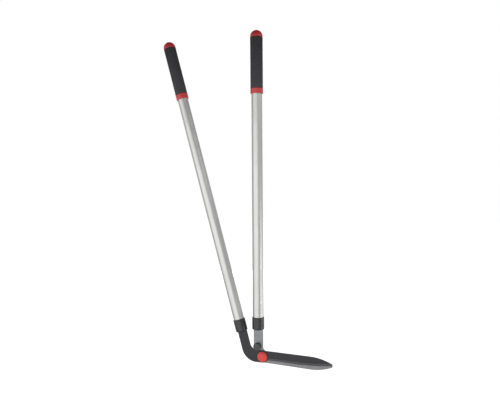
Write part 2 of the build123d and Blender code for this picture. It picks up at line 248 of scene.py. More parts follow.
def foam_material():
    """Matt foam with two sizes of pores and streaks along the grip. Painted shade darkens it
    towards the top of the grip and inside its pores, and a painted highlight pales the cell walls.
    """
    paint = Paint("foam", (0.018, 0.018, 0.0195), 0.9)
    # painted shade: the foam is painted darker towards the top of the grip and paler lower down
    paint.tint(paint.spread(paint.along("Z"), *FOAM_PAINTED_SHADE), (0.056, 0.056, 0.061))
    streaks = paint.noise(1.6, stretch=(1, 1, 18), detail=3)
    paint.tint(paint.spread(streaks, 0.5, 0.8, 0, 0.3), (0.06, 0.06, 0.063))
    patches = paint.noise(24, detail=3, shift=7)
    paint.tint(paint.spread(patches, 0.35, 0.75, 0, 0.35), (0.034, 0.034, 0.036))
    pores = paint.cells(0.8)
    # painted shade: the pores are painted darker, as if shade fell inside them
    paint.tint(paint.spread(pores, 0.42, 0.1, 0, 0.75), (0.012, 0.012, 0.013))
    fine_pores = paint.cells(0.33, shift=5)
    # painted shade: the fine pores are painted darker in the same way
    paint.tint(paint.spread(fine_pores, 0.4, 0.1, 0, 0.5), (0.02, 0.02, 0.021))
    # painted highlight: the cell walls between the pores are painted paler
    wall_highlight = paint.spread(pores, 0.55, 0.8, 0, 0.5)
    paint.tint(wall_highlight, (0.075, 0.075, 0.078))
    paint.roughness = paint.spread(patches, 0.3, 0.7, 0.82, 0.95)
    paint.bump(paint.noise(2.2, detail=5, shift=3), 0.25)
    paint.bump(pores, 0.3)
    paint.bump(fine_pores, 0.08)
    paint.shader.inputs["Specular IOR Level"].default_value = 0.12
    return paint.finish()


def red_plastic_material(name, base):
    """Glossy moulded plastic, paler where its edges are worn."""
    paint = Paint(name, base, 0.3)
    flow = paint.noise(14, detail=2)
    paint.tint(paint.spread(flow, 0.35, 0.7, 0, 0.5), [0.86 * part for part in base])
    paint.tint(paint.times(paint.rims(0.5), paint.noise(1.4, shift=2)), (0.75, 0.2, 0.19))
    scuffs = paint.noise(0.5, stretch=(1, 6, 1), detail=5, shift=9)
    paint.roughness = paint.spread(scuffs, 0.3, 0.75, 0.22, 0.42)
    paint.bump(paint.noise(1.8, detail=2, shift=4), 0.008)
    paint.bump(scuffs, 0.004)
    return paint.finish()


def black_plastic_material():
    """Glossy black plastic with a fine grain, paler where its edges are worn."""
    paint = Paint("black_plastic", (0.018, 0.018, 0.02), 0.16)
    bloom = paint.noise(18, detail=4)
    paint.tint(paint.spread(bloom, 0.4, 0.75, 0, 0.6), (0.026, 0.026, 0.029))
    paint.tint(paint.times(paint.rims(0.5), paint.noise(1.1, shift=5)), (0.14, 0.14, 0.145))
    grain = paint.noise(0.35, detail=3, shift=1)
    paint.roughness = paint.spread(bloom, 0.3, 0.75, 0.13, 0.24)
    paint.bump(grain, 0.02)
    return paint.finish()


def aluminium_material():
    """Drawn aluminium: fine lines along the tube, smears and a few scratches."""
    paint = Paint("aluminium", (0.565, 0.565, 0.56), 0.3, metallic=1)
    lines = paint.noise(0.35, stretch=(1, 1, 400), detail=4)
    paint.tint(paint.spread(lines, 0.35, 0.7, 0, 0.5), (0.5, 0.5, 0.498))
    smears = paint.noise(28, stretch=(1, 1, 2.5), detail=4, shift=6)
    paint.tint(paint.spread(smears, 0.5, 0.8, 0, 0.4), (0.47, 0.47, 0.468))
    scratches = paint.noise(0.9, stretch=(1.5, 1.5, 14), detail=6, shift=12)
    paint.tint(paint.spread(scratches, 0.68, 0.74, 0, 0.5), (0.68, 0.68, 0.68))
    paint.roughness = paint.spread(smears, 0.3, 0.75, 0.32, 0.41)
    paint.bump(lines, 0.006)
    paint.bump(scratches, 0.01)
    return paint.finish()


def ground_steel_material():
    """Bare steel with stains and specks, brighter on its bevel, sides and edges."""
    paint = Paint("ground_steel", (0.25, 0.254, 0.26), 0.42, metallic=1)
    lines = paint.noise(0.22, stretch=(1, 1, 90), detail=4)
    paint.tint(paint.spread(lines, 0.35, 0.7, 0, 0.6), (0.2, 0.204, 0.21))
    stains = paint.noise(16, detail=5, shift=3)
    paint.tint(paint.spread(stains, 0.48, 0.7, 0, 0.5), (0.185, 0.187, 0.192))
    specks = paint.noise(0.9, detail=3, shift=8)
    paint.tint(paint.spread(specks, 0.62, 0.72, 0, 0.35), (0.16, 0.155, 0.15))
    paint.tint(paint.side_on(0.985, 0.95), (0.55, 0.555, 0.56))
    paint.tint(paint.times(paint.rims(0.4), paint.noise(2.0, shift=2)), (0.7, 0.7, 0.7))
    paint.roughness = paint.spread(stains, 0.3, 0.75, 0.36, 0.5)
    paint.bump(lines, 0.012)
    paint.bump(specks, 0.015)
    return paint.finish()


def coated_steel_material():
    """A black coating, chipped at the edges, with a honed edge; its bevel and sides are painted
    paler, a painted reflection of the bright floor below.
    """
    paint = Paint("coated_steel", (0.0145, 0.0132, 0.0175), 0.36)
    cloud = paint.noise(22, detail=4)
    paint.tint(paint.spread(cloud, 0.4, 0.75, 0, 0.6), (0.021, 0.0195, 0.025))
    rub = paint.noise(0.5, stretch=(40, 1, 1), detail=5, shift=4)
    paint.tint(paint.spread(rub, 0.6, 0.75, 0, 0.3), (0.08, 0.078, 0.085))
    # painted reflection: the bevel and sides are painted paler, standing in for the bright floor
    # that they face
    paint.tint(paint.side_on(0.985, 0.96), (0.062, 0.061, 0.067))
    chips = paint.spread(paint.noise(1.5, detail=5, shift=6), 0.5, 0.62)
    paint.tint(paint.times(paint.rims(0.35), chips), (0.3, 0.3, 0.305))
    lower_side = paint.spread(paint.facing("Z"), -0.1, -0.25)
    on_blade = paint.spread(paint.along("X"), *HONED_FADE)
    honed = paint.times(paint.times(lower_side, on_blade), paint.rims(1.3))
    paint.tint(honed, (0.62, 0.62, 0.64))
    paint.roughness = paint.spread(rub, 0.35, 0.75, 0.5, 0.34)
    paint.bump(paint.noise(0.45, detail=3, shift=1), 0.02)
    paint.bump(rub, 0.01)
    paint.shader.inputs["Specular IOR Level"].default_value = 0.44
    return paint.finish()


def rubber_material():
    """Grey rubber, dusty and paler along its rims."""
    paint = Paint("rubber", (0.055, 0.056, 0.057), 0.62)
    dust = paint.noise(5, detail=5)
    paint.tint(paint.spread(dust, 0.45, 0.75, 0, 0.6), (0.085, 0.085, 0.084))
    paint.tint(paint.times(paint.rims(0.6), paint.noise(1.0, shift=3)), (0.15, 0.15, 0.148))
    paint.roughness = paint.spread(dust, 0.3, 0.75, 0.55, 0.8)
    paint.bump(paint.noise(0.4, detail=4, shift=2), 0.03)
    return paint.finish()


def zinc_material():
    """Zinc plating with a faint blue blush and some grime."""
    paint = Paint("zinc_steel", (0.6, 0.6, 0.58), 0.3, metallic=1)
    blush = paint.noise(4, detail=3)
    paint.tint(paint.spread(blush, 0.4, 0.7, 0, 0.5), (0.52, 0.54, 0.58))
    grime = paint.noise(1.6, detail=5, shift=5)
    paint.tint(paint.spread(grime, 0.55, 0.75, 0, 0.7), (0.3, 0.29, 0.27))
    paint.tint(paint.rims(0.3), (0.72, 0.72, 0.71))
    paint.roughness = paint.spread(grime, 0.35, 0.75, 0.24, 0.5)
    paint.bump(paint.noise(0.5, detail=4, shift=2), 0.02)
    return paint.finish()


def bronze_material():
    """Bronze that is darkened by oil in places."""
    paint = Paint("bronze", (0.5, 0.33, 0.16), 0.42, metallic=1)
    oil = paint.noise(3, detail=4)
    paint.tint(paint.spread(oil, 0.45, 0.7, 0, 0.7), (0.25, 0.15, 0.07))
    grit = paint.cells(0.35)
    paint.tint(paint.rims(0.3), (0.66, 0.47, 0.26))
    paint.roughness = paint.spread(oil, 0.35, 0.7, 0.5, 0.3)
    paint.bump(grit, 0.03)
    return paint.finish()


def nylon_material():
    """Off-white nylon that lets a little light in."""
    paint = Paint("nylon", (0.7, 0.69, 0.64), 0.4)
    shade = paint.noise(5, detail=3)
    paint.tint(paint.spread(shade, 0.4, 0.7, 0, 0.6), (0.62, 0.6, 0.53))
    paint.roughness = paint.spread(shade, 0.3, 0.7, 0.34, 0.5)
    paint.bump(paint.noise(0.6, detail=3, shift=2), 0.02)
    paint.shader.inputs["Subsurface Weight"].default_value = 0.15
    paint.shader.inputs["Subsurface Scale"].default_value = 0.002
    return paint.finish()


MATERIALS = {
    "foam": foam_material(),
    "red_plastic": red_plastic_material("red_plastic", (0.45, 0.03, 0.033)),
    # painted shade: a darker copy of the red plastic for the dome caps, for the dimmer light near
    # the top of the handles
    "painted_shade_red_plastic": red_plastic_material("painted_shade_red_plastic", (0.33, 0.014, 0.017)),
    # painted light: a paler copy of the red plastic for the pivot cap, for the light falling on the
    # cap's face
    "painted_light_red_plastic": red_plastic_material("painted_light_red_plastic", (0.68, 0.042, 0.034)),
    "black_plastic": black_plastic_material(),
    "aluminium": aluminium_material(),
    "ground_steel": ground_steel_material(),
    "coated_steel": coated_steel_material(),
    "rubber": rubber_material(),
    "zinc_steel": zinc_material(),
    "bronze": bronze_material(),
    "nylon": nylon_material(),
}
INNER_FINISHES = {
    # CAD nodes whose shapes are right as they are
    "fixed_tang_plug": "nylon",
    "moving_tang_plug": "nylon",
    "nut_insert": "nylon",
    "fixed_tang_rivet": "zinc_steel",
    "moving_tang_rivet": "zinc_steel",
}


# ------------------------------------------------------------------ turned sections
ARC_STEPS = 6
SHARP_ANGLE = radians(40)


def rounded(corners, closed=True):
    """The section through (radius, height, rounding) corners, with an arc at each rounding."""
    section = []
    count = len(corners)
    for index, (radius, height, rounding) in enumerate(corners):
        here = Vector((radius, height))
        if not rounding or (not closed and index in (0, count - 1)):
            section.append(here)
            continue
        back = (Vector(corners[index - 1][:2]) - here).normalized()
        ahead = (Vector(corners[(index + 1) % count][:2]) - here).normalized()
        half = back.angle(ahead) / 2
        centre = here + (back + ahead).normalized() * rounding / sin(half)
        reach = rounding * cos(half) / sin(half)
        start = (here + back * reach - centre).normalized()
        end = (here + ahead * reach - centre).normalized()
        for step in range(ARC_STEPS + 1):
            section.append(centre + start.slerp(end, step / ARC_STEPS) * rounding)
    return section


def arc(centre, radius, start, end, steps):
    """Section points on an arc. Angles are degrees above the outward direction."""
    turns = [radians(start + (end - start) * step / steps) for step in range(steps + 1)]
    return [Vector((centre[0] + radius * cos(t), centre[1] + radius * sin(t))) for t in turns]


def spaced(section, longest, closed=True):
    """The same section with its long stretches cut into steps no longer than longest."""
    points = []
    pairs = zip(section, section[1:] + section[:1] if closed else section[1:])
    for start, end in pairs:
        steps = max(1, ceil((end - start).length / longest))
        points += [start.lerp(end, step / steps) for step in range(steps)]
    if not closed:
        points.append(section[-1])
    return points


def turned(name, section, closed=True, turns=96, relief=None):
    """A mesh turned about Z from a section. relief(angle, radius, height) gives the radius."""
    shape = bmesh.new()
    rings = []
    for point in section:
        if point.x < 1e-6:
            rings.append([shape.verts.new((0, 0, point.y * MM))])
            continue
        ring = []
        for turn in range(turns):
            angle = tau * turn / turns
            radius = relief(angle, point.x, point.y) if relief else point.x
            ring.append(
                shape.verts.new((radius * cos(angle) * MM, radius * sin(angle) * MM, point.y * MM))
            )
        rings.append(ring)
    for lower, upper in zip(rings, rings[1:] + rings[:1] if closed else rings[1:]):
        for turn in range(turns):
            after = (turn + 1) % turns
            if len(lower) == 1:
                shape.faces.new((lower[0], upper[turn], upper[after]))
            elif len(upper) == 1:
                shape.faces.new((lower[turn], upper[0], lower[after]))
            else:
                shape.faces.new((lower[turn], upper[turn], upper[after], lower[after]))
    return settled(name, shape)


def is_corner(edge):
    return edge.calc_face_angle(0) > SHARP_ANGLE


def settled(name, shape, is_sharp=is_corner):
    """Turns a bmesh into a smooth-shaded mesh with its real corners kept sharp."""
    bmesh.ops.recalc_face_normals(shape, faces=shape.faces)
    for face in shape.faces:
        face.smooth = True
    for edge in shape.edges:
        edge.smooth = not (is_corner(edge) or is_sharp(edge))
    mesh = bpy.data.meshes.new(name)
    shape.to_mesh(mesh)
    shape.free()
    return mesh


def split_large_faces(shape):
    """Cuts faces with more than four corners into triangles."""
    bmesh.ops.triangulate(shape, faces=[face for face in shape.faces if len(face.verts) > 4])


def new_piece(name, mesh, place, node, slot, material=None):
    """Puts a finished mesh in place of a CAD node, on that node's body."""
    piece = bpy.data.objects.new(name, mesh)
    bpy.context.scene.collection.objects.link(piece)
    piece.matrix_world = place
    mesh.materials.append(MATERIALS[material or slot])
    even = piece.modifiers.new("even_normals", "WEIGHTED_NORMAL")
    even.keep_sharp = True
    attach(piece, frame["nodes"][node]["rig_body"])
    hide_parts(node)
    return piece


# ------------------------------------------------------------------ handle pieces
# In millimetres, where no other unit is given.
FOAM_STEP = 0.9               # between the foam's rings
FOAM_GRAIN = 0.14             # how far the foam's skin rises and falls
FOAM_COARSE = 2.4             # the size of its coarse bumps
FOAM_FINE = 1.1               # the size of its fine bumps
FOAM_DRIFT = 30               # the size of its slow waves
FOAM_SWELL = 0.22             # the foam's bulge behind each pressed end
FOAM_PRESSED = 9.0            # how far in from each end the foam is pressed
SEAM_HEIGHT = 0.12            # the moulding seam's height
SEAM_HALF_ANGLE = 0.03        # radians, half the seam's width
GATE_R = 1.4                  # the flat that the moulding gate leaves on a dome
GATE_DEPTH = 0.35
GATE_ANGLE = 6.2              # degrees of the dome that the gate mark takes
CAP_WALL = 2.5
FERRULE_DRAFT = 0.25          # how far the ferrule's body stands back from its top band
FERRULE_BAND = 3.0            # the height of that band
SLOT_CLEARANCE = 0.12
SLOT_FLARE = 0.5              # how far the slot's mouth opens on each side
SLOT_FLARE_DEPTH = 0.7


def foam_skin(size):
    """The foam's skin: a fine uneven surface, pressed outwards a little near both ends."""

    def relief(angle, radius, height):
        if radius < size.outer - 1:
            return radius
        from_end = min(height - size.low, size.high - height, FOAM_PRESSED)
        swell = FOAM_SWELL * max(0.0, sin(pi * from_end / FOAM_PRESSED)) - FOAM_SWELL / 2
        spot = Vector((radius * cos(angle), radius * sin(angle), height))
        grain = noise.noise(spot / FOAM_COARSE) + 0.5 * noise.noise(spot / FOAM_FINE)
        drift = noise.noise(spot / FOAM_DRIFT)
        return radius + swell + FOAM_GRAIN * (grain * 0.6 + drift)

    return relief


def foam_grip(side, place):
    """The soft foam sleeve of one handle."""
    node = f"{side}_foam_grip"
    size = Measure(node, place)
    section = rounded([
        (size.inner, size.low, 0),
        (size.outer, size.low, 1.5),
        (size.outer, size.high, 1.5),
        (size.inner, size.high, 0),
    ])
    mesh = turned(node, spaced(section, FOAM_STEP), turns=120, relief=foam_skin(size))
    grip = new_piece(f"{side}_foam_sleeve", mesh, place, node, "foam")


def seam(least_radius):
    """A fine raised moulding seam on two opposite sides of what is at least this far out."""

    def relief(angle, radius, height):
        if radius < least_radius:
            return radius
        off = abs(sin(angle)) / SEAM_HALF_ANGLE
        return radius + SEAM_HEIGHT * max(0.0, 1 - off)

    return relief


def grip_cap(side, place):
    """The domed end cap with its hollow stem, and a small gate mark at the crown."""
    node = f"{side}_grip_cap"
    size = Measure(node, place)
    rim = Measure(f"{side}_foam_grip", place).high
    stem = Measure(f"{side}_tube", place).inner
    centre = size.high - size.outer
    cavity = stem - CAP_WALL
    gate = size.high - GATE_DEPTH
    section = [Vector((0, gate)), Vector((GATE_R, gate))]
    section += arc((0, centre), size.outer, 90 - GATE_ANGLE, 0, 26)
    section += rounded([
        (size.outer, centre - 1, 0),
        (size.outer, rim, 1.3),
        (stem, rim, 0),
        (stem, size.low, 1.0),
        (cavity, size.low, 0.6),
        (cavity, centre, 0),
    ], closed=False)
    section += arc((0, centre), cavity, 10, 90, 10)[:-1]
    section.append(Vector((0, centre + cavity)))
    mesh = turned(node, section, closed=False, relief=seam(size.outer - 0.2))
    # painted shade: the dome takes the darker copy of the red plastic
    new_piece(f"{side}_dome_cap", mesh, place, node, "red_plastic", "painted_shade_red_plastic")


def collar(side, place):
    """The ring under a grip, more rounded at its lower rim."""
    node = f"{side}_collar"
    size = Measure(node, place)
    section = rounded([
        (size.inner, size.low, 0.4),
        (size.outer, size.low, 1.7),
        (size.outer, size.high, 1.3),
        (size.inner, size.high, 0.3),
    ])
    mesh = turned(node, spaced(section, 2.5), relief=seam(size.outer - 0.1))
    new_piece(f"{side}_collar_ring", mesh, place, node, "red_plastic")


def tube(side, place):
    """A handle's drawn tube, with both cut ends broken."""
    node = f"{side}_tube"
    size = Measure(node, place)
    section = rounded([
        (size.inner, size.low, 0.25),
        (size.outer, size.low, 0.3),
        (size.outer, size.high, 0.3),
        (size.inner, size.high, 0.25),
    ])
    mesh = turned(node, spaced(section, 12), turns=128)
    new_piece(f"{side}_drawn_tube", mesh, place, node, "aluminium")


def slot_cutter(place, size, tang, floor):
    """A block that cuts the tang's slot through a ferrule's floor, with a flared mouth."""
    half_width, half_thickness, shift = tang
    levels = [
        (size.low - 1, SLOT_FLARE),
        (size.low + 0.01, SLOT_FLARE),
        (size.low + SLOT_FLARE_DEPTH, 0.0),
        (floor + 1, 0.0),
    ]
    shape = bmesh.new()
    rings = []
    for height, flare in levels:
        x = half_width + flare
        y = half_thickness + flare
        corners = [(-x, -y), (x, -y), (x, y), (-x, y)]
        rings.append([shape.verts.new(((a + shift) * MM, b * MM, height * MM)) for a, b in corners])
    shape.faces.new(rings[0])
    shape.faces.new(rings[-1])
    for lower, upper in zip(rings, rings[1:]):
        for corner in range(4):
            after = (corner + 1) % 4
            shape.faces.new((lower[corner], lower[after], upper[after], upper[corner]))
    bmesh.ops.recalc_face_normals(shape, faces=shape.faces)
    mesh = bpy.data.meshes.new("slot_cutter")
    shape.to_mesh(mesh)
    shape.free()
    cutter = bpy.data.objects.new("slot_cutter", mesh)
    bpy.context.scene.collection.objects.link(cutter)
    cutter.matrix_world = place
    return cutter


def tang_section(blade_node, place, height):
    """Half width, half thickness and shift of a blade's tang where it crosses a height."""
    to_axis = place.inverted()
    points = [to_axis @ v.co / MM for v in frame["nodes"][blade_node].data.vertices]
    near = [p for p in points if abs(p.z - height) < 0.5]
    low = min(p.x for p in near)
    high = max(p.x for p in near)
    thickness = max(p.y for p in points) - min(p.y for p in points)
    half_width = (high - low) / 2 + SLOT_CLEARANCE
    return half_width, thickness / 2 + SLOT_CLEARANCE, (high + low) / 2


def cut_away(mesh, cutter, place):
    """A bmesh of what is left of a mesh when the cutter object is taken out of it."""
    whole = bpy.data.objects.new("whole", mesh)
    bpy.context.scene.collection.objects.link(whole)
    whole.matrix_world = place
    cut = whole.modifiers.new("cut", "BOOLEAN")
    cut.object = cutter
    cut.operation = "DIFFERENCE"
    cut.solver = "MANIFOLD"
    bpy.context.view_layer.update()
    evaluated = whole.evaluated_get(bpy.context.evaluated_depsgraph_get())
    shape = bmesh.new()
    shape.from_mesh(bpy.data.meshes.new_from_object(evaluated))
    bpy.data.objects.remove(cutter)
    bpy.data.objects.remove(whole)
    split_large_faces(shape)
    return shape


def ferrule(side, place, blade_node):
    """The moulded sleeve that joins tube and tang: a cup with a slotted floor."""
    node = f"{side}_ferrule"
    size = Measure(node, place)
    pipe = Measure(f"{side}_tube", place)
    body = size.outer - FERRULE_DRAFT
    band = size.high - FERRULE_BAND
    section = rounded([
        (0, size.low, 0),
        (body, size.low, 4.0),
        (body, band - 0.4, 0.5),
        (size.outer, band + 0.4, 0.5),
        (size.outer, size.high, 0.8),
        (pipe.outer, size.high, 0.5),
        (pipe.outer, pipe.low, 0),
        (0, pipe.low, 0),
    ], closed=False)
    mesh = turned(node, spaced(section, 3, closed=False), closed=False)
    tang = tang_section(blade_node, place, pipe.low)
    shape = cut_away(mesh, slot_cutter(place, size, tang, pipe.low), place)
    new_piece(f"{side}_ferrule_sleeve", settled(node, shape), place, node, "black_plastic")


# ------------------------------------------------------------------ blades
BLADE_EDGE = 0.3              # mm, the rounding of the stamped outline
BLADE_STRIP = 4.0             # mm between the cuts that divide a blade's long faces
FLAT_ANGLE = radians(0.8)     # faces that meet at less than this become one
OUTLINE_ANGLE = radians(50)   # edges that turn by more than this belong to the outline
GROUND_ANGLE = radians(9)     # a ground bevel meets the flat at more than this


def slice_along_x(shape):
    """Cuts a shape's faces into even strips, so that no shading runs along a whole blade."""
    reach = [vert.co.x for vert in shape.verts]
    cuts = int((max(reach) - min(reach)) / (BLADE_STRIP * MM))
    for cut in range(1, cuts):
        everything = shape.verts[:] + shape.edges[:] + shape.faces[:]
        at = (min(reach) + cut * BLADE_STRIP * MM, 0, 0)
        bmesh.ops.bisect_plane(shape, geom=everything, plane_co=at, plane_no=(1, 0, 0))


def blade(node, name, slot):
    """A blade with its stamped edges broken, made from the outline that the CAD holds."""
    shape = bmesh.new()
    shape.from_mesh(frame["nodes"][node].data)
    bmesh.ops.remove_doubles(shape, verts=shape.verts, dist=0.002 * MM)
    bmesh.ops.dissolve_limit(
        shape, angle_limit=FLAT_ANGLE, verts=shape.verts, edges=shape.edges
    )
    corners = [edge for edge in shape.edges if edge.calc_face_angle(0) > OUTLINE_ANGLE]
    bmesh.ops.bevel(
        shape, geom=corners, offset=BLADE_EDGE * MM, segments=3, profile=0.5,
        affect="EDGES", clamp_overlap=True,
    )
    slice_along_x(shape)
    split_large_faces(shape)
    mesh = settled(node, shape, is_ground_line)
    return new_piece(name, mesh, Matrix.Identity(4), node, slot)


def is_ground_line(edge):
    """True where a ground bevel meets the flat of a blade."""
    flat = [abs(face.normal.y) > 0.8 for face in edge.link_faces]
    return all(flat) and edge.calc_face_angle(0) > GROUND_ANGLE


# ------------------------------------------------------------------ pivot and stop
# All in millimetres.
STOP_STEM_R = 4.0             # the rubber stop's stem, through the lower blade
STOP_FOOT_R = 6.5
STOP_DISH = 0.7               # how deep the stop's face is dished
STOP_DISH_MARGIN = 4.6        # how far in from the side the dish's floor starts
STOP_RIM = 2.6                # the width of the stop's flat rim
CAP_SHADE_RING = 1.15              # how far the black ring of painted shade round the pivot cap stands out
CAP_SIDE = 3.1                # the straight side of the pivot cap's disc
CAP_RING_MARGIN = 2.6         # from the disc's side to its fine ring
CAP_RING_HALF = 0.45
CAP_RING_DEPTH = 0.3
HEAD_ROOM = 0.7               # between the bolt's head and the cap's socket
BOLT_R = 4.0                  # both the bolt's radius and half the width of its neck
THREAD_PITCH = 1.25
THREAD_DEPTH = 0.65
BOLT_CHAMFER = 0.9
NUT_HEX = 5.6                 # the height of the nut's hexagon
NUT_CROWN_R = 5.9
NUT_CHAMFER = 0.58
INSERT_R = 4.9                # the opening of the nut's crown, round its insert
SPRING_THICKNESS = 0.8
BUSH_BARREL_R = 6.0
BUSH_FLANGE = 1.2


def bumper():
    """The rubber stop: a rounded button with a dished face, its stem and its domed foot."""
    centre = middle("bumper")
    place = place_on((centre.x, 0, centre.z), (0, -1, 0))
    size = Measure("bumper", place)
    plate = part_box("lower_blade")
    front = -plate[0].y / MM
    back = -plate[1].y / MM
    section = rounded([
        (0, size.high - STOP_DISH, 0),
        (size.outer - STOP_DISH_MARGIN, size.high - STOP_DISH, 2.0),
        (size.outer - STOP_RIM, size.high, 1.0),
        (size.outer, size.high, 1.6),
        (size.outer, front + 1.0, 0.4),
        (size.outer - 0.5, front, 0.3),
        (STOP_STEM_R, front, 0),
        (STOP_STEM_R, back, 0),
        (STOP_FOOT_R, back, 0.4),
        (STOP_FOOT_R, back - 1.2, 0.9),
        (STOP_STEM_R + 0.6, size.low, 0.9),
        (0, size.low, 0),
    ], closed=False)
    mesh = turned("bumper", spaced(section, 1.5, closed=False), closed=False, turns=72)
    new_piece("rubber_stop", mesh, place, "bumper", "rubber")


def cap_dome(size, disc):
    """The centre and radius of the pivot cap's dome, over a disc of this radius."""
    rise = size.high - size.low - CAP_SIDE
    radius = (disc ** 2 + rise ** 2) / (2 * rise)
    return (0, size.high - radius), radius


def pivot_cap():
    """The snap-on pivot cap: a domed disc with a fine moulded ring inside its rim."""
    size = Measure("pivot_cap", PIVOT_AXIS)
    bolt = Measure("pivot_bolt", PIVOT_AXIS)
    socket = bolt.high + HEAD_ROOM
    disc = size.outer - CAP_SHADE_RING
    centre, dome_radius = cap_dome(size, disc)

    def on_dome(radius, sink=0.0):
        height = centre[1] + sqrt(dome_radius ** 2 - radius ** 2)
        return radius, height - sink

    ring = disc - CAP_RING_MARGIN
    ring_angle = degrees(acos((ring - 0.5) / dome_radius))
    section = arc(centre, dome_radius, 90, ring_angle, 14)
    section[0].x = 0
    section += rounded([
        (*on_dome(ring - CAP_RING_HALF), 0),
        (*on_dome(ring, CAP_RING_DEPTH), 0.25),
        (*on_dome(ring + CAP_RING_HALF), 0.2),
        (*on_dome(disc - 1.7), 0),
        (disc, size.low + CAP_SIDE, 1.3),
        (disc, size.low, 0.3),
        (bolt.outer, size.low, 0.3),
        (bolt.outer, socket, 0),
        (0, socket, 0),
    ], closed=False)
    mesh = turned("pivot_cap", section, closed=False, turns=120)
    # painted light: the cap takes the paler, lit copy of the red plastic
    new_piece("pivot_cap_disc", mesh, PIVOT_AXIS, "pivot_cap", "red_plastic", "painted_light_red_plastic")


def pivot_cap_shade_ring():
    """A black ring round the pivot cap's red disc: a dark piece of painted shade, standing in for
    the shadow round the cap's side.
    """
    size = Measure("pivot_cap", PIVOT_AXIS)
    disc = size.outer - CAP_SHADE_RING
    section = rounded([
        (disc, size.low, 0),
        (size.outer, size.low, 0.2),
        (size.outer, size.low + 1.7, 0.6),
        (disc, size.low + 2.1, 0.3),
    ])
    mesh = turned("pivot_cap", section, turns=120)
    # painted shade: the black ring stands in for the shadow round the pivot cap
    new_piece("pivot_cap_shade_ring", mesh, PIVOT_AXIS, "pivot_cap", "black_plastic")


def square_bar(angle):
    """The radius of the bolt's square neck at an angle."""
    return BOLT_R / max(abs(cos(angle)), abs(sin(angle)))


def bolt_relief(neck, thread_start):
    """Squares the bolt between the two heights of its neck, and threads it after a height."""
    neck_start, neck_end = neck

    def relief(angle, radius, height):
        if neck_start < height < neck_end - 0.1 and radius < BOLT_R + 0.2:
            return square_bar(angle)
        if height > thread_start and radius > BOLT_R - BOLT_CHAMFER:
            phase = (height / THREAD_PITCH - angle / tau) % 1.0
            fade = min(1.0, (height - thread_start) / THREAD_PITCH)
            return radius - THREAD_DEPTH * fade * abs(2 * phase - 1)
        return radius

    return relief


def pivot_bolt():
    """The square-necked pivot bolt with its cup head, and a rolled thread at its nut end."""
    size = Measure("pivot_bolt", BACK_AXIS)
    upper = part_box("upper_blade")
    neck_start = (upper[0].y - PIVOT.y) / MM
    neck_end = (upper[1].y - PIVOT.y) / MM
    thread_start = (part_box("plain_washer")[0].y - PIVOT.y) / MM
    rise = neck_start - size.low
    head_radius = (size.outer ** 2 + rise ** 2) / (2 * rise)
    head_angle = degrees(asin(size.outer / head_radius))
    section = arc((0, size.low + head_radius), head_radius, 270, 270 + head_angle, 12)
    section[0].x = 0
    section += rounded([
        (BOLT_R + 0.1, neck_start + 0.02, 0),
        (BOLT_R + 0.1, neck_end - 0.2, 0),
        (BOLT_R, neck_end, 0),
        (BOLT_R, size.high - 0.7, 0.2),
        (BOLT_R - BOLT_CHAMFER, size.high, 0.2),
        (0, size.high, 0),
    ], closed=False)
    relief = bolt_relief((neck_start, neck_end), thread_start)
    fine = spaced(section, 0.16, closed=False)
    mesh = turned("pivot_bolt", fine, closed=False, turns=64, relief=relief)
    new_piece("carriage_bolt", mesh, BACK_AXIS, "pivot_bolt", "zinc_steel")


def hexagon(flat, low, high):
    """Turns what stands outside the flats into a hexagon, chamfered at both heights."""

    def relief(angle, radius, height):
        if radius < flat:
            return radius
        wedge = angle % (tau / 6) - tau / 12
        corner = flat / cos(wedge)
        from_end = max(0.0, min(height - low, high - height) / NUT_CHAMFER)
        return min(corner, flat * 1.02 + from_end * 0.75)

    return relief


def lock_nut():
    """A hexagon lock nut with chamfered corners and the round crown that holds its insert."""
    size = Measure("lock_nut", BACK_AXIS)
    low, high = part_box("lock_nut")
    flat = (high.z - low.z) / 2 / MM
    hex_top = size.low + NUT_HEX
    section = rounded([
        (BOLT_R + 0.6, size.low, 0),
        (flat, size.low, 0),
        (flat * 1.05, size.low + 0.02, 0),
        (flat * 1.05, hex_top - 0.02, 0),
        (flat, hex_top, 0),
        (NUT_CROWN_R + 0.3, hex_top, 0.2),
        (NUT_CROWN_R, hex_top + 0.6, 0.3),
        (NUT_CROWN_R, size.high, 0.8),
        (INSERT_R, size.high, 0.3),
        (INSERT_R, size.high - 0.5, 0),
        (BOLT_R, size.high - 0.7, 0),
        (BOLT_R, size.low + 0.6, 0),
    ])
    relief = hexagon(flat, size.low, hex_top)
    mesh = turned("lock_nut", spaced(section, 0.3), turns=96, relief=relief)
    new_piece("hex_lock_nut", mesh, BACK_AXIS, "lock_nut", "zinc_steel")


def plain_washer():
    """A stamped washer, rounded on the side that the punch entered."""
    size = Measure("plain_washer", BACK_AXIS)
    section = rounded([
        (size.inner, size.low, 0.15),
        (size.outer, size.low, 0.45),
        (size.outer, size.high, 0.2),
        (size.inner, size.high, 0.35),
    ])
    mesh = turned("plain_washer", section)
    new_piece("stamped_washer", mesh, BACK_AXIS, "plain_washer", "zinc_steel")


def disc_spring():
    """The coned spring disc under the washer."""
    size = Measure("disc_spring", BACK_AXIS)
    section = rounded([
        (size.inner, size.high - SPRING_THICKNESS, 0.12),
        (size.outer, size.low, 0.2),
        (size.outer, size.low + SPRING_THICKNESS, 0.2),
        (size.inner, size.high, 0.12),
    ])
    mesh = turned("disc_spring", section)
    new_piece("cone_spring", mesh, BACK_AXIS, "disc_spring", "zinc_steel")


def pivot_bush():
    """The flanged bush that is pressed into the lower blade."""
    size = Measure("pivot_bush", BACK_AXIS)
    flange = size.high - BUSH_FLANGE
    section = rounded([
        (size.inner, size.low, 0.2),
        (BUSH_BARREL_R, size.low, 0.1),
        (BUSH_BARREL_R, flange, 0),
        (size.outer, flange, 0.25),
        (size.outer, size.high, 0.35),
        (size.inner, size.high, 0.35),
    ])
    mesh = turned("pivot_bush", section)
    new_piece("flanged_bush", mesh, BACK_AXIS, "pivot_bush", "bronze")


